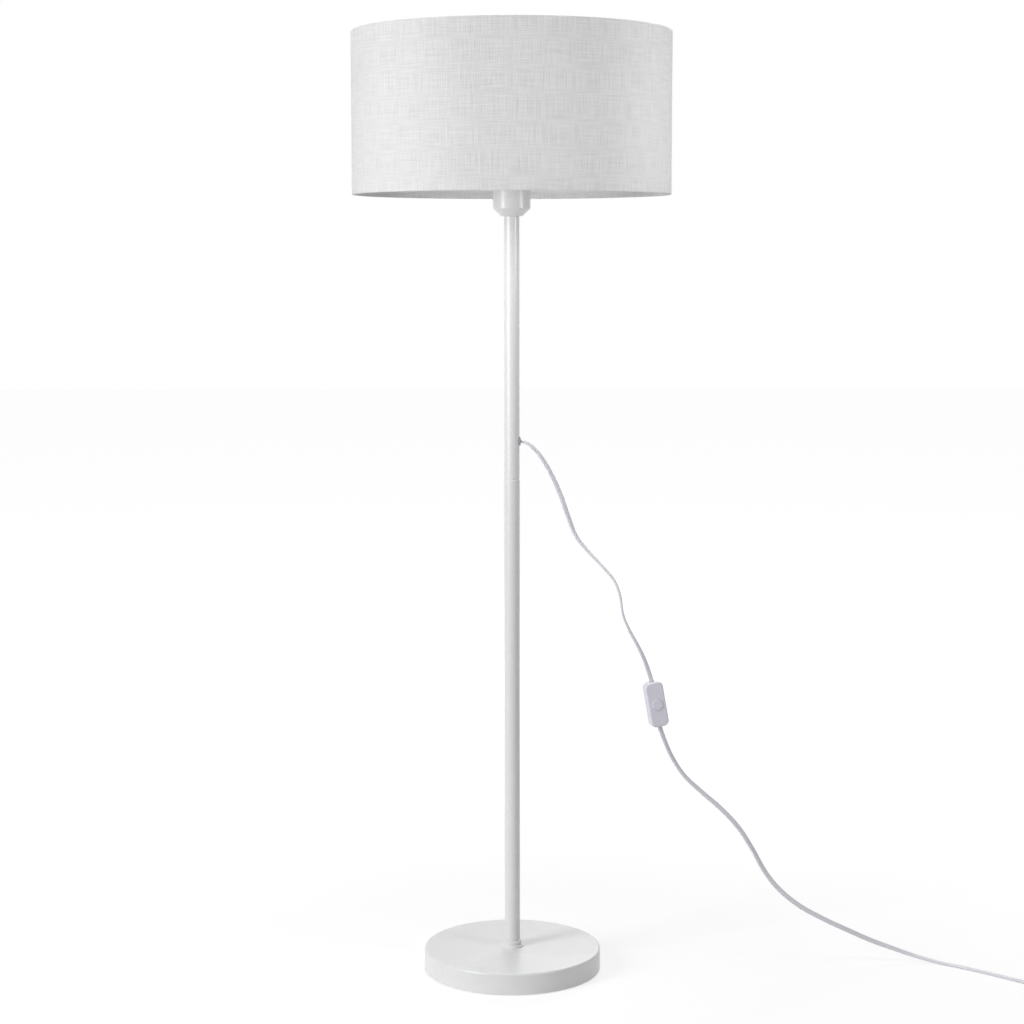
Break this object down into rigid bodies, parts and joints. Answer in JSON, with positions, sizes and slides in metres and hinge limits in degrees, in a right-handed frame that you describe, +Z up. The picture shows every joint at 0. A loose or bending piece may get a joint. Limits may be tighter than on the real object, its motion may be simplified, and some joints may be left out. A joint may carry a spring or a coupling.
{
  "type": "floor lamp",
  "caption": "Straight column floor lamp with a round weighted base, a fabric drum shade and a flat lead that leaves the column half way up, with an in-line switch and a plug",
  "frame": {"origin": "centre of the base's foot, on the floor", "axes": "+Z up along the column, -Y towards the viewer of the picture, +X the side on which the lead leaves the column"},
  "size_m": [1.0897, 0.45, 1.349],
  "materials": {
    "powder_coat": "satin",
    "zinc_steel": "satin",
    "concrete": "matte",
    "felt": "matte",
    "brass": "satin",
    "nickel": "gloss",
    "white_plastic": "satin",
    "holder_plastic": "matte",
    "grey_plastic": "matte",
    "black_plastic": "satin",
    "lead_sheath": "satin",
    "shade_fabric": "matte",
    "shade_liner": "matte",
    "white_wire": "satin",
    "opal": "satin",
    "core_insulation": "matte"
  },
  "bodies": {
    "lamp": {"base_pad": "felt", "base_bottom_plate": "zinc_steel", "base_weight": "concrete", "base_cover": "powder_coat", "base_bolt": "zinc_steel", "base_washer": "zinc_steel", "base_collar": "powder_coat", "lower_tube": "powder_coat", "lower_tube_bottom_plug": "zinc_steel", "lower_tube_top_plug": "zinc_steel", "joint_stud": "zinc_steel", "upper_tube": "powder_coat", "upper_tube_bottom_plug": "zinc_steel", "upper_tube_top_plug": "zinc_steel", "holder_nipple": "zinc_steel", "nipple_washer": "zinc_steel", "nipple_nut": "zinc_steel", "holder_cup": "powder_coat", "holder_base": "holder_plastic", "contact_block": "holder_plastic", "terminal_screws": "brass", "centre_contact": "brass", "side_contact": "brass", "holder_shell": "holder_plastic", "screw_sleeve": "nickel", "lower_shade_ring": "holder_plastic", "upper_shade_ring": "holder_plastic", "shade_fitter": "white_wire", "shade_top_wire": "white_wire", "shade_liner": "shade_liner", "shade_fabric": "shade_fabric", "cord_bushing": "grey_plastic", "cord_anchor": "grey_plastic", "cord_inside": "lead_sheath", "lead_wires": "core_insulation", "cord_upper": "lead_sheath", "switch_front": "white_plastic", "switch_back": "white_plastic", "switch_spring": "zinc_steel", "switch_contacts": "brass", "switch_leads": "lead_sheath", "switch_screws": "zinc_steel", "cord_lower": "lead_sheath", "cord_coil": "lead_sheath", "plug_strain_relief": "white_plastic", "plug_body": "white_plastic", "plug_pins": "nickel", "plug_sleeves": "black_plastic"},
    "button": {"switch_button": "white_plastic"},
    "bulb_lift": {"bulb_tip": "nickel", "bulb_insulator": "black_plastic"},
    "bulb": {"bulb_cap": "nickel", "bulb_housing": "holder_plastic", "bulb_globe": "opal"}
  },
  "joints": [
    {"name": "switch_press", "type": "slide", "parent": "lamp", "child": "button", "axis": [-0.2382, 0.9703, -0.042], "range_m": [0, 0.002], "stiffness_N_per_m": 600, "springref_m": -0.004},
    {"name": "bulb_rise", "type": "slide", "parent": "lamp", "child": "bulb_lift", "axis": [0, 0, 1], "range_m": [0, 0.018]},
    {"name": "bulb_turn", "type": "hinge", "parent": "bulb_lift", "child": "bulb", "pos_m": [0, 0, 1.15], "axis": [0, 0, 1], "range_deg": [0, 1800]}
  ],
  "couplings": [
    {"joint": "bulb_turn", "follows": "bulb_rise", "rad_per_m": 1745.3}
  ]
}
